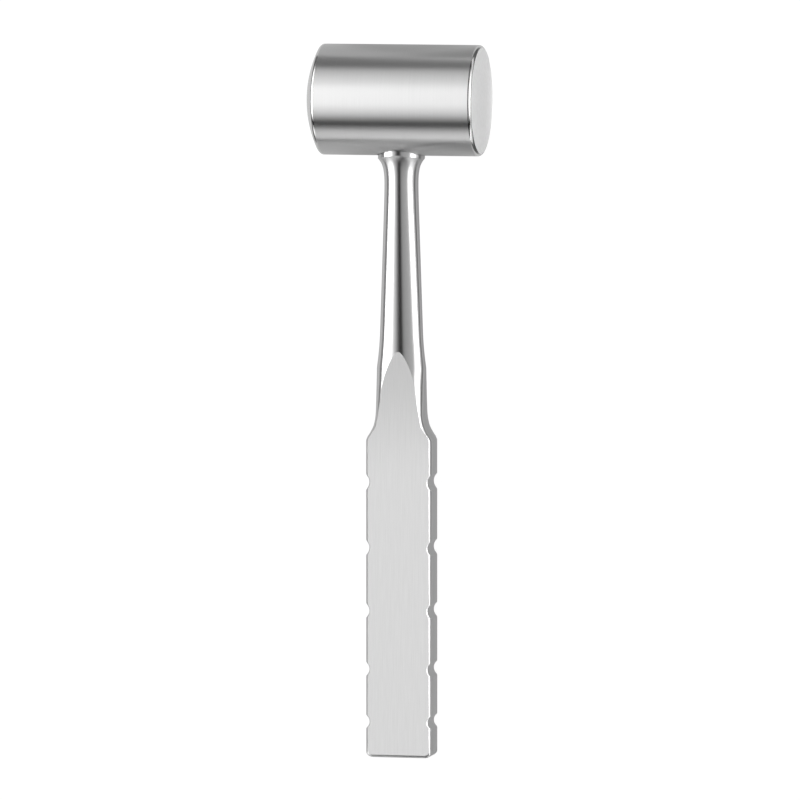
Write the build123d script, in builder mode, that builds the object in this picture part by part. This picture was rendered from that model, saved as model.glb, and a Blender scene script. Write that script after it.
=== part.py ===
from build123d import *
from math import asin, atan2, cos, degrees, exp, hypot, radians, sin
import os

# A bone mallet in two pieces: a solid steel head, flat at one end and domed at the other,
# and a steel handle in one piece, whose collar and spigot seat in the head's underside.
# It lies on its side, as it comes to rest: the head's round wall and the butt touch the
# ground. Heights along the handle are measured from the head's axis towards the butt.

# Driving dimensions, in millimetres

# Head, turned about the X direction
head_radius = 15.0
head_straight = 42.6          # round wall between the two edge bevels
bevel_in = 1.0                # how far each bevel comes in towards the axis
bevel_along = 0.85            # how far each bevel runs along the axis
dome_rise = 3.3               # crown of the domed striking face

# Where the handle enters the head
collar_radius = 6.35
collar_depth = 3.5            # depth of the collar's seat below the top of the round wall
collar_clearance = 0.1        # all round, the fine seam that shows
spigot_radius = 4.0
spigot_length = 16.0
spigot_clearance = 0.02       # all round, a close fit
bore_spare = 1.5              # bore left beyond the spigot's end
spigot_lead = 0.6             # bevel on the spigot's end

# Neck, an oval that is almost round at its narrowest place and widens towards the grip
neck_radius = 4.56
neck_at = 24.0
flare_from = 12.9             # the neck's form starts here, wider than the collar all round
flare_fall = 2.07             # length over which the flare under the collar falls to 1/e
side_rim_at = 15.85           # the collar's straight rim ends here at the handle's edges
front_rim_at = 14.75          # and here above the flats, so that it follows the head's curve
neck_widening = 1.3           # gain of half width over the neck's straight taper
neck_thinning = 0.2           # loss of half depth over the same length
neck_end_at = 62.5
swell_rate = 0.0056           # how fast the neck swells past its taper, per mm squared
arch_swell = 1.17             # gain of half depth that lifts the neck's corners into the flats
arch_swell_from = 66.0
arch_swell_length = 12.0
neck_sections = 56

# Flat grip
handle_reach = 178.1          # head's axis to the end of the butt
grip_width = 18.4
grip_thickness = 8.9
edge_round = 0.75
butt_corner = 2.0
throat_width = 13.26
throat_end_at = 84.5
shoulder_at = 91.6
shoulder_round = 0.8

# Finger notches, in pairs, from the shoulder down
notch_below_shoulder = (11.7, 29.5, 46.6, 62.5, 76.8)
notch_depth = 1.2
notch_chord_first = 4.5
notch_chord_last = 3.75
notch_lip = 0.2               # small bevel round each notch

# Resting attitude, from the sizes above
half_thickness = grip_thickness / 2
edge_along = handle_reach - edge_round
edge_below = half_thickness - edge_round
rest_tilt = degrees(
    asin((head_radius - edge_round) / hypot(edge_along, edge_below))
    - atan2(edge_below, edge_along)
)
tilt_sine = sin(radians(rest_tilt))
tilt_cosine = cos(radians(rest_tilt))

# The origin is on the ground, under the middle of the mallet's outline
butt_from_head = edge_along * tilt_cosine + edge_below * tilt_sine + edge_round
head_x = dome_rise / 2
head_y = (butt_from_head - head_radius) / 2

# The grip's own plane: X across the grip, Y towards the head, normal to the upper flat
grip_plane = Plane(
    origin=(head_x, head_y, head_radius),
    x_dir=(1, 0, 0),
    z_dir=(0, -tilt_sine, tilt_cosine),
)
handle_axis = Axis(grip_plane.origin, grip_plane.y_dir)
head_axis = Axis(grip_plane.origin, grip_plane.x_dir)
flat_normal = Axis(grip_plane.origin, grip_plane.z_dir)

# Level of the collar's seat, measured from the head's axis
seat_at = head_radius - collar_depth


def across(distance):
    """Plane square to the handle, at a distance from the head's axis towards the butt."""
    middle = grip_plane.from_local_coords(Vector(0, -distance, 0))
    return Plane(origin=middle, x_dir=grip_plane.x_dir, z_dir=-grip_plane.y_dir)


# Head: one turned profile, with a dome at -X and a flat face at +X

half_straight = head_straight / 2
face_radius = head_radius - bevel_in
flat_end = half_straight + bevel_along
dome_edge = -flat_end
dome_top = dome_edge - dome_rise

with BuildPart() as head:
    with BuildSketch(grip_plane):
        with BuildLine():
            Polyline(
                (dome_edge, face_radius),
                (-half_straight, head_radius),
                (half_straight, head_radius),
                (flat_end, face_radius),
                (flat_end, 0),
                (dome_top, 0),
            )
            dome_radius = (face_radius**2 + dome_rise**2) / (2 * dome_rise)
            half_sweep = asin(face_radius / dome_radius) / 2
            ThreePointArc(
                (dome_top, 0),
                (
                    dome_top + dome_radius * (1 - cos(half_sweep)),
                    dome_radius * sin(half_sweep),
                ),
                (dome_edge, face_radius),
            )
        make_face()
    revolve(axis=head_axis)

    # Seat for the collar, then the blind bore for the spigot
    with BuildSketch(across(seat_at)):
        Circle(collar_radius + collar_clearance)
    extrude(amount=2 * collar_depth, mode=Mode.SUBTRACT)
    with BuildSketch(across(seat_at)):
        Circle(spigot_radius + spigot_clearance)
    extrude(amount=-(spigot_length + bore_spare), mode=Mode.SUBTRACT)


# Grip: the flat bar with its rounded edges and notches, still square at the top

grip_half = grip_width / 2
throat_half = throat_width / 2
bar_top_at = 2 * neck_end_at - arch_swell_from

with BuildPart() as bar:
    with BuildSketch(grip_plane) as outline:
        with BuildLine():
            top_right = (throat_half, -bar_top_at)
            throat_foot = (throat_half, -throat_end_at)
            shoulder = (grip_half, -shoulder_at)
            butt_right = (grip_half, -handle_reach)
            Line((0, -bar_top_at), top_right)
            Line(top_right, throat_foot)
            TangentArc(throat_foot, shoulder, tangent=(0, -1))
            Line(shoulder, butt_right)
            Line(butt_right, (0, -handle_reach))
            mirror(about=Plane.YZ)
        make_face()
        butt_corners = outline.vertices().group_by(Axis.Y)[0]
        fillet(butt_corners, butt_corner)
        widest = outline.vertices().filter_by(
            lambda v: abs(v.Y + shoulder_at) < 0.01 and abs(abs(v.X) - grip_half) < 0.01
        )
        fillet(widest, shoulder_round)
    extrude(amount=half_thickness, both=True)
    by_height = bar.faces().sort_by(flat_normal)
    fillet(by_height[0].edges() + by_height[-1].edges(), edge_round)

    # Each notch is a round cut through the edge, with a small bevel at both flats
    last_notch = len(notch_below_shoulder) - 1
    for number, below in enumerate(notch_below_shoulder):
        chord = notch_chord_first + (notch_chord_last - notch_chord_first) * number / last_notch
        radius = (chord**2 / 4 + notch_depth**2) / (2 * notch_depth)
        for side in (-1, 1):
            centre_x = side * (grip_half - notch_depth + radius)
            cutter_axis = grip_plane.from_local_coords(
                Vector(centre_x, -(shoulder_at + below), 0)
            )
            profile_plane = Plane(
                origin=cutter_axis, x_dir=grip_plane.x_dir, z_dir=-grip_plane.y_dir
            )
            with BuildSketch(profile_plane):
                with BuildLine():
                    Polyline(
                        (0, half_thickness),
                        (radius + notch_lip, half_thickness),
                        (radius, half_thickness - notch_lip),
                        (radius, notch_lip - half_thickness),
                        (radius + notch_lip, -half_thickness),
                        (0, -half_thickness),
                        close=True,
                    )
                make_face()
            revolve(axis=Axis(cutter_axis, grip_plane.z_dir), mode=Mode.SUBTRACT)

    # Above the flats the bar is left thick, so that the neck there keeps its own form,
    # and at the top it is the round collar
    with BuildSketch(across(neck_at)):
        Rectangle(2 * throat_width, 2 * grip_thickness)
    extrude(amount=neck_end_at - neck_at)
    with BuildSketch(across(flare_from)):
        Circle(collar_radius)
    extrude(amount=neck_at - flare_from)


# Handle: the flare falls from the collar to the neck, whose smooth taper runs down into the
# grip, and the flats cut it to an arch

taper_length = neck_end_at - neck_at


def flare(distance, rim_at, half_size_there):
    """What the flare adds to the neck, so that it meets the collar where the rim ends."""
    return (collar_radius - half_size_there) * exp((rim_at - distance) / flare_fall)


def tapered_half_width(distance):
    return neck_radius + neck_widening * (distance - neck_at) / taper_length


def tapered_half_depth(distance):
    return neck_radius - neck_thinning * min(1.0, (distance - neck_at) / taper_length)


def neck_half_width(distance):
    """Flare, straight taper, and a swell that starts where the taper ends."""
    swell = swell_rate * max(0.0, distance - neck_end_at) ** 2
    gain = flare(distance, side_rim_at, tapered_half_width(side_rim_at))
    return tapered_half_width(distance) + swell + gain


def neck_half_depth(distance):
    """Flare, slight taper, and the smooth rise that carries the corners past the flats."""
    share = (distance - arch_swell_from) / arch_swell_length
    share = min(1.0, max(0.0, share))
    rise = arch_swell * share**2 * (3 - 2 * share)
    gain = flare(distance, front_rim_at, tapered_half_depth(front_rim_at))
    return tapered_half_depth(distance) + rise + gain


with BuildPart() as handle:
    for step in range(neck_sections):
        distance = flare_from + (shoulder_at - flare_from) * step / (neck_sections - 1)
        with BuildSketch(across(distance)):
            Ellipse(neck_half_width(distance), neck_half_depth(distance))
    loft()
    with BuildSketch(across(shoulder_at)):
        Rectangle(2 * grip_width, 2 * grip_thickness)
    extrude(amount=2 * (handle_reach - shoulder_at))
    add(bar.part, mode=Mode.INTERSECT)

    # Collar and spigot, inside the head
    with BuildSketch(across(seat_at)):
        Circle(collar_radius)
    extrude(amount=flare_from - seat_at)
    with BuildSketch(across(seat_at)):
        Circle(spigot_radius)
    extrude(amount=-spigot_length)
    spigot_end = handle.edges().filter_by(GeomType.CIRCLE).sort_by(handle_axis)[-1]
    chamfer(spigot_end, spigot_lead)


head.part.label = "head"
handle.part.label = "handle"

os.makedirs("parts", exist_ok=True)
export_step(head.part, "parts/head.step")
export_step(handle.part, "parts/handle.step")
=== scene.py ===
from math import acos, asin, copysign, cos, exp, pi, radians, sin, tan

import bmesh
import bpy
from mathutils import Matrix, Vector


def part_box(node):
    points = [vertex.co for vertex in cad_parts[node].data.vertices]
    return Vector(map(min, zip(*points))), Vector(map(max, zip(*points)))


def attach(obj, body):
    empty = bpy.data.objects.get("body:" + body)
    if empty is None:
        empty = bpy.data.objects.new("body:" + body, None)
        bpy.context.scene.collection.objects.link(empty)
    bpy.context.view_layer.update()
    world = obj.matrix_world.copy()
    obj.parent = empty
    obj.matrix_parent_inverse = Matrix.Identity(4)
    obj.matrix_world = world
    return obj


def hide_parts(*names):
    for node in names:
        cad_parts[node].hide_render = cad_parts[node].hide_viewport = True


# A solid steel bone mallet, lying on a white table and seen from above in a bright studio.
# Angles are in degrees. Lengths are in metres, except for the handle's sizes below.

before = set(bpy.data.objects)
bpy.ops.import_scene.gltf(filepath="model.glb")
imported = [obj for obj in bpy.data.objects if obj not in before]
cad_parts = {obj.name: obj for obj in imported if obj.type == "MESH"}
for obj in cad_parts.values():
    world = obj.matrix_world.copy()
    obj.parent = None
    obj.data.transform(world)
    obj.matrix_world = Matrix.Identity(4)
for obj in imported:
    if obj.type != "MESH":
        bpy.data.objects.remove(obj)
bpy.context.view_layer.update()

MM = 0.001

# Head
HEAD_RADIUS = 15 * MM
HEAD_LENGTH = 47.6 * MM
HEAD_EDGE_ROUND = 0.9 * MM
DOME_RADIUS = 31.8 * MM
SEAT_RADIUS = 6.62 * MM
BORE_RADIUS = 4.02 * MM
BORE_DEPTH = 17.5 * MM        # beyond the seat

# Handle, in millimetres; places along it are measured from the head's axis
COLLAR_RADIUS = 6.35
COLLAR_AT = 11.5              # the collar's end, which stands on the seat in the head
SPIGOT_RADIUS = 4.0
SPIGOT_LENGTH = 16.0
SPIGOT_BEVEL = 0.6

# Its neck, an oval with a flare under the collar
FLARE_FROM = 12.9
FLARE_FALL = 2.07             # length over which the flare falls to 1/e
SIDE_RIM_AT = 15.85           # the collar's straight rim ends here at the handle's edges
FRONT_RIM_AT = 14.75          # and here above the flats
NECK_AT = 24.0                # where it is narrowest
NECK_RADIUS = 4.56
NECK_WIDENING = 1.3           # gain of half width over the straight taper
NECK_THINNING = 0.2           # loss of half depth over the same length
NECK_END_AT = 62.5
SWELL_RATE = 0.0056           # per mm squared, past the taper
ARCH_FROM = 66.0              # over the arch the half depth rises past the flats
ARCH_LENGTH = 12.0
ARCH_SWELL = 1.17
SPREAD_FROM = 88.4            # from here the flats spread to the shoulders
SPREAD_RATE = 0.9
SIDE_SPARE = 0.12             # how far the neck's form stays outside the bar's sides
LOFT_END_AT = 94.0

# Its flat bar
BAR_FROM = 59.0
THROAT_HALF = 6.63
THROAT_END_AT = 84.5
SHOULDER_AT = 91.6
SHOULDER_ROUND = 0.8
GRIP_HALF = 9.2
FLAT_DEPTH = 4.45
EDGE_ROUND = 0.75
BUTT_AT = 178.1
BUTT_CORNER = 2.0
NOTCHES_AT = (103.3, 121.1, 138.2, 154.1, 168.4)
NOTCH_DEPTH = 1.2
FIRST_CHORD = 4.5
LAST_CHORD = 3.75
NOTCH_LIP = 0.2

# The bar's sides widen from the throat to the shoulders along an arc
WIDENING = GRIP_HALF - THROAT_HALF
WIDENING_LENGTH = SHOULDER_AT - THROAT_END_AT
WIDENING_RADIUS = (WIDENING**2 + WIDENING_LENGTH**2) / (2 * WIDENING)

# The mallet lies on its side, and its handle falls by this angle from the head to the butt
REST_TILT = 3.4125
head_low, head_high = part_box("head")
handle_low, handle_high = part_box("handle")
HEAD_AXIS_POINT = Vector((
    (handle_low.x + handle_high.x) / 2,
    (head_low.y + head_high.y) / 2,
    HEAD_RADIUS,
))
AT_REST = Matrix.Translation(HEAD_AXIS_POINT) @ Matrix.Rotation(radians(REST_TILT), 4, "X")
DOWN_THE_HANDLE = Vector((0, -cos(radians(REST_TILT)), -sin(radians(REST_TILT))))
FLAT_NORMAL = Vector((0, -sin(radians(REST_TILT)), cos(radians(REST_TILT))))


# Helpers

def evenly(start, end, steps):
    """Even steps from start to end, both of them counted."""
    return [start + (end - start) * step / steps for step in range(steps + 1)]


def new_object(name, data):
    made = bpy.data.objects.new(name, data)
    bpy.context.scene.collection.objects.link(made)
    return made


def worked_out(start):
    """The mesh that an object's modifiers make of it."""
    bpy.context.view_layer.update()
    evaluated = start.evaluated_get(bpy.context.evaluated_depsgraph_get())
    return bpy.data.meshes.new_from_object(evaluated)


def feed(tree, source, socket):
    """Links a socket to an input, or writes a plain value in it."""
    if isinstance(source, bpy.types.NodeSocket):
        tree.links.new(source, socket)
    else:
        socket.default_value = source


def node(tree, kind, inputs=None, **settings):
    """A new node with its settings; inputs, by name or number, are linked or set."""
    made = tree.nodes.new(kind)
    for name, value in settings.items():
        setattr(made, name, value)
    for socket, source in (inputs or {}).items():
        feed(tree, source, made.inputs[socket])
    return made


def calculate(tree, operation, first, second=0.0):
    return node(tree, "ShaderNodeMath", {0: first, 1: second}, operation=operation).outputs[0]


def vector(tree, operation, *sources):
    return node(tree, "ShaderNodeVectorMath", dict(enumerate(sources)), operation=operation).outputs


def ramp(tree, value, low, high, at_low=0.0, at_high=1.0, kind="LINEAR"):
    """Runs from at_low to at_high while the value runs from low to high."""
    inputs = {
        "Value": value,
        "From Min": low,
        "From Max": high,
        "To Min": at_low,
        "To Max": at_high,
    }
    return node(tree, "ShaderNodeMapRange", inputs, interpolation_type=kind).outputs[0]


def blend(tree, share, at_none, at_all):
    """Runs from at_none to at_all while the share runs from 0 to 1."""
    return ramp(tree, share, 0.0, 1.0, at_none, at_all)


# Finishes

NOISE_RANGE = (0.3, 0.7)      # nearly all of the noise lies in it
QUARTER_TURN = 0.25           # turns the spread of the light from the tangent across it
FADED_LINES = 0.5             # even height of the turning lines where they are worn away
FLATS_FROM = 64 * MM          # the brushed flats start beyond this distance from the head's axis
FLAT_SPARE = 0.01 * MM        # and count from this little below their level
# Painted light: between these distances the flats' colour runs paler, standing in for light that is
# brighter further down the handle
FLATS_PAINTED_PALER_BETWEEN = (68 * MM, 105 * MM)


def marks(tree, place, per_mm, detail=2.0):
    """Even noise, from 0 to 1, with its own number of marks a millimetre along X, Y and Z."""
    stretched = vector(tree, "MULTIPLY", place, [number / MM for number in per_mm])[0]
    inputs = {"Vector": stretched, "Scale": 1.0, "Detail": detail}
    noise = node(tree, "ShaderNodeTexNoise", inputs)
    return ramp(tree, noise.outputs["Fac"], *NOISE_RANGE)


def steel(name, anisotropy=0.0):
    """A metal shader, its tree, and the place on the piece."""
    material = bpy.data.materials.new(name)
    material.use_nodes = True
    tree = material.node_tree
    shader = tree.nodes["Principled BSDF"]
    shader.inputs["Metallic"].default_value = 1.0
    shader.inputs["Anisotropic"].default_value = anisotropy
    place = node(tree, "ShaderNodeTexCoord").outputs["Object"]
    return material, tree, shader, place


def dress(tree, shader, paleness, roughness, lines, height):
    """Gives a metal its paleness and roughness, and lets lines raise its surface."""
    bump = node(tree, "ShaderNodeBump", {"Strength": 1.0, "Distance": height, "Height": lines})
    feed(tree, paleness, shader.inputs["Base Color"])
    feed(tree, roughness, shader.inputs["Roughness"])
    feed(tree, bump.outputs["Normal"], shader.inputs["Normal"])


def wear(tree, shader, lines, paleness, roughness, height):
    """Lets lines vary a metal's paleness and roughness, each (low, high), and its surface."""
    dress(
        tree, shader, blend(tree, lines, *paleness), blend(tree, lines, *roughness), lines, height
    )


def satin_turned_steel():
    """Fine turning lines run round the head and spread the light along it."""
    material, tree, shader, place = steel("satin turned steel", anisotropy=1.0)
    turning = marks(tree, place, per_mm=(4.0, 0.03, 0.03), detail=3.0)
    clouds = marks(tree, place, per_mm=(0.05, 0.5, 0.5))
    lines = blend(tree, clouds, turning, FADED_LINES)
    wear(tree, shader, lines, paleness=(0.665, 0.7), roughness=(0.38, 0.42), height=0.0005 * MM)
    tangent = node(tree, "ShaderNodeTangent", direction_type="RADIAL", axis="X")
    feed(tree, tangent.outputs[0], shader.inputs["Tangent"])
    shader.inputs["Anisotropic Rotation"].default_value = QUARTER_TURN
    return material


def polished_edge_steel():
    """Almost a mirror, with soft marks of the polishing wheel."""
    material, tree, shader, place = steel("polished edge steel")
    polish = marks(tree, place, per_mm=(0.6, 0.6, 0.6))
    wear(tree, shader, polish, paleness=(0.66, 0.7), roughness=(0.1, 0.16), height=0.0003 * MM)
    return material


def matt_face_steel():
    """Very fine even grain, with faint marks of use, on a steel painted much paler than the head's
    other steel: painted light that brightens the flat face.
    """
    material, tree, shader, place = steel("matt face steel")
    grain = marks(tree, place, per_mm=(0.3, 0.9, 0.9), detail=5.0)
    # Painted light: the paleness lies far above the head's other steel so that the face looks
    # bright; the grain's small spread in it is real
    wear(tree, shader, grain, paleness=(0.92, 0.97), roughness=(0.74, 0.86), height=0.001 * MM)
    return material


def painted_seam_shade_steel():
    """The seat's wall, never polished and nearly black: painted shade for the dark seam where the
    handle enters the head.
    """
    material, tree, shader, place = steel("dull seam steel")
    # Painted shade: the seat's wall is nearly black, to darken the seam round the handle
    uneven_shade = marks(tree, place, per_mm=(1.2, 1.2, 1.2))
    wear(tree, shader, uneven_shade, paleness=(0.03, 0.09), roughness=(0.55, 0.8), height=0.01 * MM)
    return material


def polished_handle_steel():
    """Polished neck and edges; the flats are brushed along the handle, with painted light that
    makes them paler further from the head.
    """
    material, tree, shader, place = steel("polished and brushed steel", anisotropy=1.0)
    from_axis = vector(tree, "SUBTRACT", place, HEAD_AXIS_POINT)[0]
    height = vector(tree, "DOT_PRODUCT", from_axis, FLAT_NORMAL)["Value"]
    distance = vector(tree, "DOT_PRODUCT", from_axis, DOWN_THE_HANDLE)["Value"]
    depth = calculate(tree, "ABSOLUTE", height)
    on_flat = calculate(tree, "GREATER_THAN", depth, FLAT_DEPTH * MM - FLAT_SPARE)
    past_arch = calculate(tree, "GREATER_THAN", distance, FLATS_FROM)
    brushed = calculate(tree, "MULTIPLY", on_flat, past_arch)

    brushing = marks(tree, place, per_mm=(5.0, 0.12, 0.4), detail=3.0)
    polish = marks(tree, place, per_mm=(0.5, 0.5, 0.5))
    # Painted light: the flats grow paler away from the head; the brushing varies their colour a
    # little
    flat_paleness_and_painted_light = calculate(
        tree,
        "ADD",
        ramp(tree, distance, *FLATS_PAINTED_PALER_BETWEEN, 0.46, 0.58, kind="SMOOTHSTEP"),
        calculate(tree, "MULTIPLY", brushing, 0.05),
    )
    neck_paleness = blend(tree, polish, 0.62, 0.65)
    neck_roughness = blend(tree, polish, 0.28, 0.31)
    flat_roughness = blend(tree, brushing, 0.44, 0.5)
    dress(
        tree,
        shader,
        paleness=blend(tree, brushed, neck_paleness, flat_paleness_and_painted_light),
        roughness=blend(tree, brushed, neck_roughness, flat_roughness),
        lines=calculate(tree, "MULTIPLY", brushed, brushing),
        height=0.0005 * MM,
    )

    # The spread runs along the neck and across the flats
    feed(tree, vector(tree, "NORMALIZE", DOWN_THE_HANDLE)[0], shader.inputs["Tangent"])
    turn = blend(tree, brushed, 0.0, QUARTER_TURN)
    feed(tree, turn, shader.inputs["Anisotropic Rotation"])
    return material


# Head: its outline turned round its own axis, with softened edges and a seat for the handle

TURNING_INPUTS = (
    ("Outline", "NodeSocketGeometry"),
    ("Edge Round", "NodeSocketFloat"),
    ("Corner Steps", "NodeSocketInt"),
    ("Turn Steps", "NodeSocketInt"),
    ("Wall Radius", "NodeSocketFloat"),
    ("Seat Radius", "NodeSocketFloat"),
    ("Seat At", "NodeSocketFloat"),
    ("Bore Radius", "NodeSocketFloat"),
    ("Bore Depth", "NodeSocketFloat"),
    ("Wall Steel", "NodeSocketMaterial"),
    ("Edge Steel", "NodeSocketMaterial"),
    ("Face Steel", "NodeSocketMaterial"),
    # The last steel is painted shade for the seam round the handle
    ("Seam Steel", "NodeSocketMaterial"),
)
DOME_STEPS = 12
HEAD_CORNER_ANGLE = 35        # edges bent by more than this are sharp

# Shares of a radius
NEAR_WALL = 0.99              # corners of the outline past this share are softened
OUTSIDE_WALL = 1.2            # drills start this far out
NEAR_SEAT = 1.01              # the seat's own wall lies within this share

# Parts of a normal's length along an axis
EDGE_STARTS = 0.03            # along the head's axis, where the polished edge starts
FACE_STARTS = 0.98            # and where the matt flat face starts
SEAT_WALL_BELOW = 0.2         # along the handle, on the wall of the seat

TOUCHING = 0.001 * MM         # points closer than this are one point


def head_outline():
    """The outline from the dome's crown to the middle of the flat face: (along, radius)."""
    crown = head_low.x - HEAD_AXIS_POINT.x
    flat_end = crown + HEAD_LENGTH
    outline = [
        (crown + DOME_RADIUS * (1 - cos(angle)), DOME_RADIUS * sin(angle))
        for angle in evenly(0, asin(HEAD_RADIUS / DOME_RADIUS), DOME_STEPS)
    ]
    return outline + [(flat_end, HEAD_RADIUS), (flat_end, 0.0)]


def outline_curve(name, outline):
    curve = bpy.data.curves.new(name, "CURVE")
    curve.dimensions = "3D"
    spline = curve.splines.new("POLY")
    spline.points.add(len(outline) - 1)
    for point, (distance, radius) in zip(spline.points, outline):
        point.co = (radius, distance, 0, 1)
    return new_object(name, curve)


def turned(tree, given):
    """The outline with its corners at the wall softened, turned round the X axis."""
    place = node(tree, "GeometryNodeInputPosition").outputs[0]
    radius = node(tree, "ShaderNodeSeparateXYZ", {0: place}).outputs["X"]
    near_wall = calculate(tree, "MULTIPLY", given["Wall Radius"], NEAR_WALL)
    at_wall = calculate(tree, "GREATER_THAN", radius, near_wall)
    soften = node(tree, "GeometryNodeFilletCurve", {
        "Curve": given["Outline"],
        "Count": given["Corner Steps"],
        "Radius": calculate(tree, "MULTIPLY", at_wall, given["Edge Round"]),
        "Limit Radius": True,
    }, mode="POLY")
    inward = calculate(tree, "MULTIPLY", given["Wall Radius"], -1.0)
    section = node(tree, "GeometryNodeTransform", {
        "Geometry": soften.outputs["Curve"],
        "Translation": node(tree, "ShaderNodeCombineXYZ", {"X": inward}).outputs[0],
    })
    path = node(tree, "GeometryNodeCurvePrimitiveCircle", {
        "Resolution": given["Turn Steps"],
        "Radius": given["Wall Radius"],
    }, mode="RADIUS")
    upright = node(
        tree, "GeometryNodeSetCurveNormal", {"Curve": path.outputs["Curve"]}, mode="Z_UP"
    )
    skin = node(tree, "GeometryNodeCurveToMesh", {
        "Curve": upright.outputs["Curve"],
        "Profile Curve": section.outputs["Geometry"],
    })
    closed = node(tree, "GeometryNodeMergeByDistance", {
        "Geometry": skin.outputs["Mesh"],
        "Distance": TOUCHING,
    })
    along_x = node(tree, "GeometryNodeTransform", {
        "Geometry": closed.outputs["Geometry"],
        "Rotation": (0, radians(-90), 0),
    })
    return along_x.outputs["Geometry"]


def drilled(tree, given, body, radius, bottom):
    """The body less a round hole along the handle, down to a distance from the axis."""
    top = calculate(tree, "MULTIPLY", given["Wall Radius"], OUTSIDE_WALL)
    bit = node(tree, "GeometryNodeMeshCylinder", {
        "Vertices": given["Turn Steps"],
        "Radius": radius,
        "Depth": calculate(tree, "SUBTRACT", top, bottom),
    }, fill_type="NGON")
    middle = calculate(tree, "MULTIPLY", calculate(tree, "ADD", top, bottom), -0.5)
    placed = node(tree, "GeometryNodeTransform", {
        "Geometry": bit.outputs["Mesh"],
        "Translation": node(tree, "ShaderNodeCombineXYZ", {"Y": middle}).outputs[0],
        "Rotation": (radians(90), 0, 0),
    })
    hole = node(tree, "GeometryNodeMeshBoolean", {
        "Mesh 1": body,
        "Mesh 2": placed.outputs["Geometry"],
    }, operation="DIFFERENCE", solver="EXACT")
    return hole.outputs["Mesh"]


def shaded(tree, body):
    """Smooth, but for the real corners."""
    smooth = node(tree, "GeometryNodeSetShadeSmooth", {"Geometry": body})
    angle = node(tree, "GeometryNodeInputMeshEdgeAngle").outputs[0]
    crisp = node(tree, "GeometryNodeSetShadeSmooth", {
        "Geometry": smooth.outputs["Geometry"],
        "Selection": calculate(tree, "GREATER_THAN", angle, radians(HEAD_CORNER_ANGLE)),
        "Shade Smooth": False,
    }, domain="EDGE")
    return crisp.outputs["Geometry"]


def clad(tree, given, body):
    """The body with a steel for its wall, its edges, its flat face, and a nearly black steel of
    painted shade for the wall of the seat.
    """
    normal = node(tree, "GeometryNodeInputNormal").outputs[0]
    facing = node(tree, "ShaderNodeSeparateXYZ", {0: normal}).outputs
    endwise = calculate(tree, "ABSOLUTE", facing["X"])
    sideways = calculate(tree, "ABSOLUTE", facing["Y"])
    place = node(tree, "GeometryNodeInputPosition").outputs[0]
    from_handle = vector(tree, "LENGTH", vector(tree, "MULTIPLY", place, (1, 0, 1))[0])["Value"]
    near_seat = calculate(tree, "MULTIPLY", given["Seat Radius"], NEAR_SEAT)
    # Painted shade: the seat's wall takes the nearly black steel, for the dark seam round the
    # handle
    painted_shade_wall = calculate(
        tree,
        "MULTIPLY",
        calculate(tree, "LESS_THAN", sideways, SEAT_WALL_BELOW),
        calculate(tree, "LESS_THAN", from_handle, near_seat),
    )
    for steel_name, chosen in (
        ("Wall Steel", True),
        ("Edge Steel", calculate(tree, "GREATER_THAN", endwise, EDGE_STARTS)),
        ("Face Steel", calculate(tree, "GREATER_THAN", facing["X"], FACE_STARTS)),
        ("Seam Steel", painted_shade_wall),
    ):
        body = node(tree, "GeometryNodeSetMaterial", {
            "Geometry": body,
            "Selection": chosen,
            "Material": given[steel_name],
        }).outputs["Geometry"]
    return body


def turning_tree():
    """Turns an outline round an axis, softens its corners and cuts a stepped hole in it."""
    tree = bpy.data.node_groups.new("turned steel", "GeometryNodeTree")
    for name, kind in TURNING_INPUTS:
        tree.interface.new_socket(name, in_out="INPUT", socket_type=kind)
    tree.interface.new_socket("Piece", in_out="OUTPUT", socket_type="NodeSocketGeometry")
    given = node(tree, "NodeGroupInput").outputs
    bore_end = calculate(tree, "SUBTRACT", given["Seat At"], given["Bore Depth"])
    body = turned(tree, given)
    body = drilled(tree, given, body, given["Seat Radius"], given["Seat At"])
    body = drilled(tree, given, body, given["Bore Radius"], bore_end)
    node(tree, "NodeGroupOutput", {"Piece": clad(tree, given, shaded(tree, body))})
    return tree


def made_by(tree, start, name, **inputs):
    """A plain mesh piece from a curve object and a tree with its inputs set."""
    modifier = start.modifiers.new("turning", "NODES")
    modifier.node_group = tree
    identifiers = {
        item.name: item.identifier
        for item in tree.interface.items_tree
        if item.item_type == "SOCKET" and item.in_out == "INPUT"
    }
    for input_name, value in inputs.items():
        modifier[identifiers[input_name.replace("_", " ").title()]] = value
    mesh = worked_out(start)
    bpy.data.objects.remove(start)
    return new_object(name, mesh)


def turned_head():
    made = made_by(
        turning_tree(),
        outline_curve("head outline", head_outline()),
        "turned_head",
        edge_round=HEAD_EDGE_ROUND,
        corner_steps=8,
        turn_steps=256,
        wall_radius=HEAD_RADIUS,
        seat_radius=SEAT_RADIUS,
        seat_at=COLLAR_AT * MM,
        bore_radius=BORE_RADIUS,
        bore_depth=BORE_DEPTH,
        wall_steel=satin_turned_steel(),
        edge_steel=polished_edge_steel(),
        face_steel=matt_face_steel(),
        # painted shade: a nearly black steel on the seat's wall darkens the seam
        seam_steel=painted_seam_shade_steel(),
    )
    made.data.transform(AT_REST)
    return made


new_head = turned_head()
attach(new_head, "root")
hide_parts("head")


# Handle: a lofted neck cut to a flat bar with notches, in millimetres in its own frame, where
# X runs across the grip, Y from the butt towards the head and Z square to the upper flat

ELLIPSE = 2.0                 # squareness of a plain oval
SQUAREST = 12.0
HALVINGS = 30                 # of the range in which a squareness is looked for
OVAL_STEPS = 128
COLLAR_STEPS = 256
FLARE_STEPS = 40
NECK_STEPS = 72
ARC_STEPS = 20
SHOULDER_STEPS = 6
BUTT_STEPS = 12
EDGE_STEPS = 6
NOTCH_STEPS = 48
CUTTER_SPARE = 0.3            # how far a notch cutter stands out of the flats
OVERLAP = 1.0                 # how far forms that are joined run into each other
SAME_POINT = 0.002 * MM       # after the cuts, points closer than this are one point
NO_LENGTH = 0.001 * MM        # and edges shorter than this are taken out
HANDLE_CORNER_ANGLE = 30      # edges bent by more than this are sharp
LEVEL = 0.99999               # least upward part of a flat's normal


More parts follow.
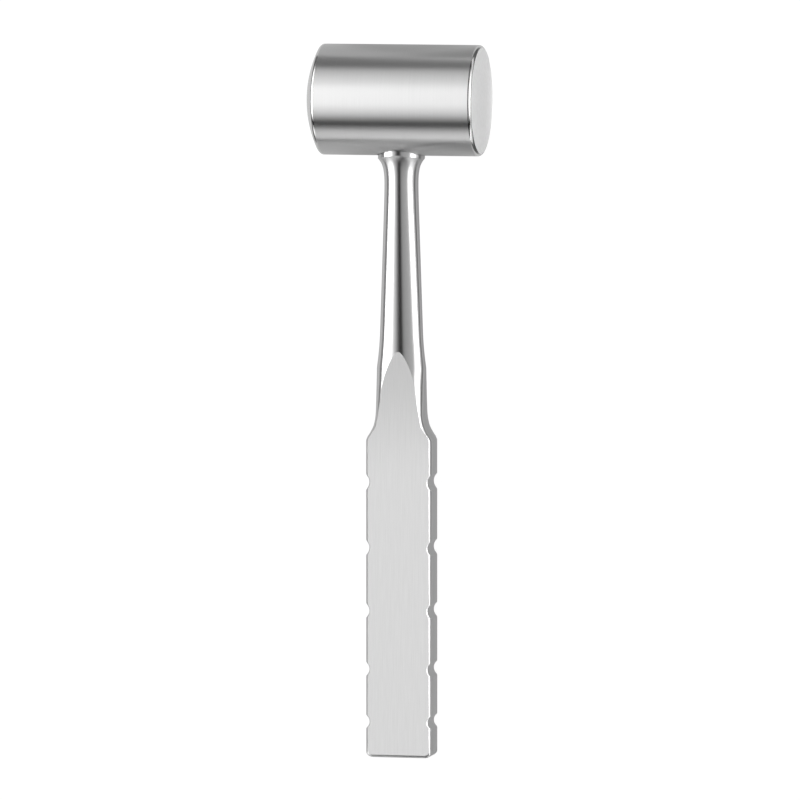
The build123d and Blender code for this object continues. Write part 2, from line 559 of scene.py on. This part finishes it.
def solid(name, rings):
    """A closed mesh of triangles, from rings of points that all have the same number."""
    count = len(rings[0])
    points = [point for ring in rings for point in ring]
    faces = [tuple(reversed(range(count)))]
    for level in range(len(rings) - 1):
        for corner in range(count):
            here = level * count + corner
            following = level * count + (corner + 1) % count
            faces.append((here, following, following + count, here + count))
    faces.append(tuple(range(len(points) - count, len(points))))
    mesh = bpy.data.meshes.new(name)
    mesh.from_pydata([[value * MM for value in point] for point in points], [], faces)
    triangles = bmesh.new()
    triangles.from_mesh(mesh)
    bmesh.ops.triangulate(triangles, faces=triangles.faces[:])
    triangles.to_mesh(mesh)
    triangles.free()
    return new_object(name, mesh)


def oval(distance, half_width, half_depth, squareness=ELLIPSE, steps=OVAL_STEPS):
    """Points round the handle's axis; an oval is squarer where its squareness is over two."""
    def part(value):
        return copysign(abs(value) ** (2 / squareness), value)

    return [
        (half_width * part(cos(turn)), -distance, half_depth * part(sin(turn)))
        for turn in evenly(0, 2 * pi, steps)[:-1]
    ]


def bar_half_width(distance):
    below = min(max(0.0, distance - THROAT_END_AT), WIDENING_LENGTH)
    return THROAT_HALF + WIDENING_RADIUS - (WIDENING_RADIUS**2 - below**2) ** 0.5


def taper_share(distance):
    return (distance - NECK_AT) / (NECK_END_AT - NECK_AT)


def tapered_half_width(distance):
    return NECK_RADIUS + NECK_WIDENING * taper_share(distance)


def tapered_half_depth(distance):
    return NECK_RADIUS - NECK_THINNING * min(1.0, taper_share(distance))


def flare(distance, rim_at, half_size_there):
    """What the flare adds to the neck, so that it meets the collar where the rim ends."""
    return (COLLAR_RADIUS - half_size_there) * exp((rim_at - distance) / FLARE_FALL)


def squareness_through(across, upright):
    """Squareness of the oval through a point that is given in shares of its half sizes."""
    low, high = ELLIPSE, SQUAREST
    for halving in range(HALVINGS):
        middle = (low + high) / 2
        if across**middle + upright**middle > 1:
            low = middle
        else:
            high = middle
    return middle


def neck_section(distance):
    """Half width, half depth and squareness of the neck."""
    half_width = tapered_half_width(distance)
    half_width += SWELL_RATE * max(0.0, distance - NECK_END_AT) ** 2
    half_width += flare(distance, SIDE_RIM_AT, tapered_half_width(SIDE_RIM_AT))
    half_width += SPREAD_RATE * max(0.0, distance - SPREAD_FROM)
    arch = min(1.0, max(0.0, (distance - ARCH_FROM) / ARCH_LENGTH))
    half_depth = tapered_half_depth(distance)
    half_depth += flare(distance, FRONT_RIM_AT, tapered_half_depth(FRONT_RIM_AT))
    half_depth += ARCH_SWELL * arch**2 * (3 - 2 * arch)

    # Where the bar's side is nearer, the section squares up to it and keeps the flat's width
    side = bar_half_width(distance) + SIDE_SPARE
    if half_width <= side or half_depth <= FLAT_DEPTH:
        return half_width, half_depth, ELLIPSE
    flat_half = half_width * (1 - (FLAT_DEPTH / half_depth) ** 2) ** 0.5
    flat_half = min(flat_half, side - SIDE_SPARE - EDGE_ROUND)
    return side, half_depth, squareness_through(flat_half / side, FLAT_DEPTH / half_depth)


def lofted_neck():
    """Fine steps down the flare and wider ones below; it clears the bar at both ends."""
    distances = evenly(FLARE_FROM, NECK_AT, FLARE_STEPS)[:-1]
    distances += evenly(NECK_AT, LOFT_END_AT, NECK_STEPS)
    rings = [oval(COLLAR_AT - 2 * SPIGOT_LENGTH, *neck_section(FLARE_FROM))]
    rings += [oval(distance, *neck_section(distance)) for distance in distances]
    rings.append(oval(BUTT_AT + BUTT_CORNER, *neck_section(LOFT_END_AT)))
    return solid("lofted neck", rings)


def rounded(before, corner, after, radius, steps):
    """Points of a round of a given radius in place of a corner."""
    to_before = (before - corner).normalized()
    to_after = (after - corner).normalized()
    half_angle = acos(to_before.dot(to_after)) / 2
    centre = corner + (to_before + to_after).normalized() * radius / sin(half_angle)
    start = (corner + to_before * radius / tan(half_angle) - centre).normalized()
    end = (corner + to_after * radius / tan(half_angle) - centre).normalized()
    return [centre + start.slerp(end, share) * radius for share in evenly(0, 1, steps)]


def bar_outline():
    """Half of the grip's outline, from the top to the middle of the butt, then its mirror image."""
    half = [Vector((THROAT_HALF, -BAR_FROM))]
    for turn in evenly(0, asin(WIDENING_LENGTH / WIDENING_RADIUS), ARC_STEPS)[:-1]:
        half.append(Vector((
            THROAT_HALF + WIDENING_RADIUS * (1 - cos(turn)),
            -THROAT_END_AT - WIDENING_RADIUS * sin(turn),
        )))
    shoulder = Vector((GRIP_HALF, -SHOULDER_AT))
    butt = Vector((GRIP_HALF, -BUTT_AT))
    half += rounded(half[-1], shoulder, butt, SHOULDER_ROUND, SHOULDER_STEPS)
    half += rounded(shoulder, butt, Vector((0, -BUTT_AT)), BUTT_CORNER, BUTT_STEPS)
    return half + [Vector((-point.x, point.y)) for point in reversed(half)]


def inset(outline, amount):
    """The outline moved inwards by an even amount."""
    moved = []
    for number, point in enumerate(outline):
        before = (point - outline[number - 1]).normalized()
        after = (outline[(number + 1) % len(outline)] - point).normalized()
        inward = Vector((-(before.y + after.y), before.x + after.x)).normalized()
        square = Vector((-before.y, before.x))
        moved.append(point - inward * amount / inward.dot(square))
    return moved


def flat_bar():
    """The outline with both its rims rounded."""
    outline = bar_outline()
    turns = evenly(0, pi / 2, EDGE_STEPS)
    rings = []
    for side, rim in ((-1, reversed(turns)), (1, turns)):
        for turn in rim:
            level = side * (FLAT_DEPTH - EDGE_ROUND * (1 - sin(turn)))
            ring = inset(outline, EDGE_ROUND * (1 - cos(turn)))
            rings.append([(point.x, point.y, level) for point in reversed(ring)])
    return solid("flat bar", rings)


def notch_cutters():
    """A pair of upright round cutters for each notch, wider at both flats by a small lip."""
    cutters = []
    turns = evenly(0, 2 * pi, NOTCH_STEPS)[:-1]
    for number, distance in enumerate(NOTCHES_AT):
        chord = FIRST_CHORD + (LAST_CHORD - FIRST_CHORD) * number / (len(NOTCHES_AT) - 1)
        radius = (chord**2 / 4 + NOTCH_DEPTH**2) / (2 * NOTCH_DEPTH)
        lip_radius = radius + NOTCH_LIP + CUTTER_SPARE
        levels = (
            (-FLAT_DEPTH - CUTTER_SPARE, lip_radius),
            (-FLAT_DEPTH + NOTCH_LIP, radius),
            (FLAT_DEPTH - NOTCH_LIP, radius),
            (FLAT_DEPTH + CUTTER_SPARE, lip_radius),
        )
        for side in (-1, 1):
            middle = side * (GRIP_HALF - NOTCH_DEPTH + radius)
            rings = [
                [(middle + wide * cos(turn), wide * sin(turn) - distance, level) for turn in turns]
                for level, wide in levels
            ]
            cutters.append(solid("notch cutter", rings))
    return cutters


def carriers():
    """What the loft is cut by above the flats: a wide block, the collar and the spigot."""
    wide, deep = 2 * GRIP_HALF, GRIP_HALF
    block = [
        [(x, -distance, z) for x, z in ((wide, deep), (-wide, deep), (-wide, -deep), (wide, -deep))]
        for distance in (NECK_AT, NECK_END_AT)
    ]
    collar = [
        oval(distance, COLLAR_RADIUS, COLLAR_RADIUS, steps=COLLAR_STEPS)
        for distance in (COLLAR_AT, NECK_AT + OVERLAP)
    ]
    spigot_end = COLLAR_AT - SPIGOT_LENGTH
    spigot = [
        oval(distance, radius, radius)
        for distance, radius in (
            (spigot_end, SPIGOT_RADIUS - SPIGOT_BEVEL),
            (spigot_end + SPIGOT_BEVEL, SPIGOT_RADIUS),
            (COLLAR_AT + OVERLAP, SPIGOT_RADIUS),
        )
    ]
    return [solid("block", block), solid("collar", collar), solid("spigot", spigot)]


def clean(mesh):
    """Takes out the points and edges of no size that the cuts leave."""
    whole = bmesh.new()
    whole.from_mesh(mesh)
    bmesh.ops.remove_doubles(whole, verts=whole.verts[:], dist=SAME_POINT)
    bmesh.ops.dissolve_degenerate(whole, edges=whole.edges[:], dist=NO_LENGTH)
    whole.to_mesh(mesh)
    whole.free()


def crisp_flats(mesh):
    """Smooth shading, but sharp at real corners and round each flat."""
    corner_cosine = cos(radians(HANDLE_CORNER_ANGLE))
    normals_at = {edge.key: [] for edge in mesh.edges}
    for face in mesh.polygons:
        face.use_smooth = True
        for key in face.edge_keys:
            normals_at[key].append(face.normal)
    for edge in mesh.edges:
        first, second = normals_at[edge.key]
        bent = first.dot(second) < corner_cosine
        edge.use_edge_sharp = bent or (abs(first.z) > LEVEL) != (abs(second.z) > LEVEL)


def forged_handle():
    """The bar less its notches, with the carriers added, and what the loft leaves of it."""
    bar = flat_bar()
    tools = [(tool, "DIFFERENCE") for tool in notch_cutters()]
    tools += [(tool, "UNION") for tool in carriers()]
    tools.append((lofted_neck(), "INTERSECT"))
    for tool, operation in tools:
        cut = bar.modifiers.new(operation, "BOOLEAN")
        cut.operation = operation
        cut.solver = "EXACT"
        cut.object = tool
    mesh = worked_out(bar)
    for spent in [bar] + [tool for tool, operation in tools]:
        bpy.data.objects.remove(spent)
    clean(mesh)
    crisp_flats(mesh)
    mesh.transform(AT_REST)
    mesh.materials.append(polished_handle_steel())
    return new_object("forged_handle", mesh)


new_handle = forged_handle()
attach(new_handle, "root")
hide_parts("handle")


# Studio: the table, and the light that the steel shows

TABLE_HALF_SIZE = 6.0
TABLE_SEEN = 1.2              # strength of the table's glow as the camera sees it
GLOW_SHARE = 0.8              # the rest of the table takes light and shade

# Strength of what polished steel mirrors of it, by the millimetres to the right of the handle
TABLE_MIRRORED = (
    (-400, 0.10),
    (-64, 0.10),
    (-50, 0.76),
    (-22, 0.76),
    (-14, 0.50),
    (14, 0.50),
    (22, 0.76),
    (25, 0.76),
    (30, 0.05),
    (48, 0.05),
    (75, 1.00),
    (400, 1.00),
)

# Light overhead, by the angle from straight up towards the head end: (angle, strength)
LENGTHWISE_LIGHT = (
    (-90, 2.30),
    (-72, 1.65),
    (-65, 0.80),
    (-60, 0.00),
    (-52, 0.00),
    (-47, 0.90),
    (-41, 2.10),
    (-30, 3.40),
    (-10, 4.90),
    (24, 4.90),
    (44, 3.10),
    (60, 2.00),
    (76, 0.32),
    (96, 0.32),
)

# How much of it is left, by the angle from straight up towards the flat face
CROSSWISE_SHARE = (
    (-90, 0.04),
    (-85, 0.04),
    (-80, 1.00),
    (-46, 1.00),
    (-35, 0.30),
    (-25, 0.17),
    (-15, 0.06),
    (-8, 0.01),
    (1, 0.01),
    (9, 0.09),
    (18, 0.12),
    (42, 0.15),
    (50, 0.17),
    (58, 0.45),
    (63, 1.00),
    (90, 1.00),
)
SIDE_SHARE = 0.3              # how much of a side direction counts as height, towards the head
SKY_SEEN = 1.0                # strength of the background as the camera sees it


def by_steps(tree, value, stops):
    """Smooth steps of strength between the values in stops: (value, strength)."""
    first, last = stops[0][0], stops[-1][0]
    made = node(tree, "ShaderNodeValToRGB", {0: ramp(tree, value, first, last)})
    made.color_ramp.interpolation = "EASE"
    elements = made.color_ramp.elements
    while len(elements) < len(stops):
        elements.new(0.5)
    for element, (at, strength) in zip(elements, stops):
        element.position = (at - first) / (last - first)
        element.color = (strength, strength, strength, 1)
    return made.outputs[0]


def white_table():
    """White where it is lit and seen by the camera, and still in shade under the mallet."""
    material = bpy.data.materials.new("white table")
    material.use_nodes = True
    tree = material.node_tree
    lit = tree.nodes["Principled BSDF"]
    lit.inputs["Base Color"].default_value = (0.42, 0.42, 0.42, 1)
    lit.inputs["Roughness"].default_value = 0.25
    lit.inputs["Specular IOR Level"].default_value = 0.25
    path = node(tree, "ShaderNodeLightPath").outputs
    seen = path["Is Camera Ray"]
    mirrored = calculate(tree, "MAXIMUM", path["Is Glossy Ray"], path["Is Transmission Ray"])
    place = node(tree, "ShaderNodeTexCoord").outputs["Object"]
    x = node(tree, "ShaderNodeSeparateXYZ", {0: place}).outputs["X"]
    to_right = calculate(tree, "DIVIDE", calculate(tree, "SUBTRACT", x, HEAD_AXIS_POINT.x), MM)
    pattern = by_steps(tree, to_right, TABLE_MIRRORED)
    glow = node(tree, "ShaderNodeEmission", {"Strength": blend(tree, seen, pattern, TABLE_SEEN)})
    shown = calculate(tree, "MAXIMUM", seen, mirrored)
    mix = node(tree, "ShaderNodeMixShader", {
        0: calculate(tree, "MULTIPLY", shown, GLOW_SHARE),
        1: lit.outputs[0],
        2: glow.outputs[0],
    })
    feed(tree, mix.outputs[0], tree.nodes["Material Output"].inputs[0])
    return material


def table():
    half = TABLE_HALF_SIZE
    mesh = bpy.data.meshes.new("table")
    corners = [(-half, -half, 0), (half, -half, 0), (half, half, 0), (-half, half, 0)]
    mesh.from_pydata(corners, [], [(0, 1, 2, 3)])
    mesh.materials.append(white_table())
    return new_object("table", mesh)


def studio_world():
    """Light by its direction alone, and an even white where the camera sees past the table."""
    world = bpy.data.worlds.new("studio")
    bpy.context.scene.world = world
    world.use_nodes = True
    tree = world.node_tree
    direction = node(tree, "ShaderNodeTexCoord").outputs["Generated"]
    x, y, z = node(tree, "ShaderNodeSeparateXYZ", {0: direction}).outputs
    up_squared = calculate(tree, "POWER", z, 2.0)
    aside_squared = calculate(tree, "POWER", calculate(tree, "MULTIPLY", x, SIDE_SHARE), 2.0)
    height = calculate(tree, "SQRT", calculate(tree, "ADD", up_squared, aside_squared))
    to_head = calculate(tree, "DEGREES", calculate(tree, "ARCTAN2", y, height))
    to_face = calculate(tree, "DEGREES", calculate(tree, "ARCTAN2", x, z))
    lengthwise = by_steps(tree, to_head, LENGTHWISE_LIGHT)
    crosswise = by_steps(tree, to_face, CROSSWISE_SHARE)
    light = calculate(tree, "MULTIPLY", lengthwise, crosswise)
    seen = node(tree, "ShaderNodeLightPath").outputs["Is Camera Ray"]
    shown = node(tree, "ShaderNodeMix", {0: seen, 2: light, 3: SKY_SEEN}, data_type="FLOAT")
    shader = tree.nodes["Background"]
    feed(tree, shown.outputs[0], shader.inputs["Strength"])
    shader.inputs["Color"].default_value = (1, 1, 1, 1)
    world.cycles.sampling_method = "MANUAL"
    world.cycles.sample_map_resolution = 1024


table()
studio_world()


# Camera: it looks almost straight down, through a long lens

CAMERA_DISTANCE = 3.0
CAMERA_YAW = 12.165           # round the handle, towards the flat striking face
CAMERA_PITCH = 1.224          # towards the head
CAMERA_ROLL = 0.690
CAMERA_LENS = 499.2           # in millimetres, as is the sensor's width
SENSOR_WIDTH = 36
SEEN_BETWEEN = (0.1, 50)
AIM_ACROSS = -0.446 * MM
AIM_BELOW_HEAD = 81.251 * MM


def studio_camera():
    yaw, pitch, roll = radians(CAMERA_YAW), radians(CAMERA_PITCH), radians(CAMERA_ROLL)
    towards_camera = Vector((sin(yaw) * cos(pitch), sin(pitch), cos(yaw) * cos(pitch)))
    aim = HEAD_AXIS_POINT + DOWN_THE_HANDLE * AIM_BELOW_HEAD
    aim.x += AIM_ACROSS
    up = Vector((0, 1, 0))
    up = (up - towards_camera * up.dot(towards_camera)).normalized()
    right = up.cross(towards_camera)
    image_right = right * cos(roll) + up * sin(roll)
    image_up = up * cos(roll) - right * sin(roll)
    data = bpy.data.cameras.new("camera")
    data.lens = CAMERA_LENS
    data.sensor_width = SENSOR_WIDTH
    data.clip_start, data.clip_end = SEEN_BETWEEN
    made = new_object("camera", data)
    turn = Matrix((image_right, image_up, towards_camera)).transposed().to_4x4()
    turn.translation = aim + towards_camera * CAMERA_DISTANCE
    made.matrix_world = turn
    return made


bpy.context.scene.camera = studio_camera()
bpy.context.scene.view_settings.view_transform = "Standard"
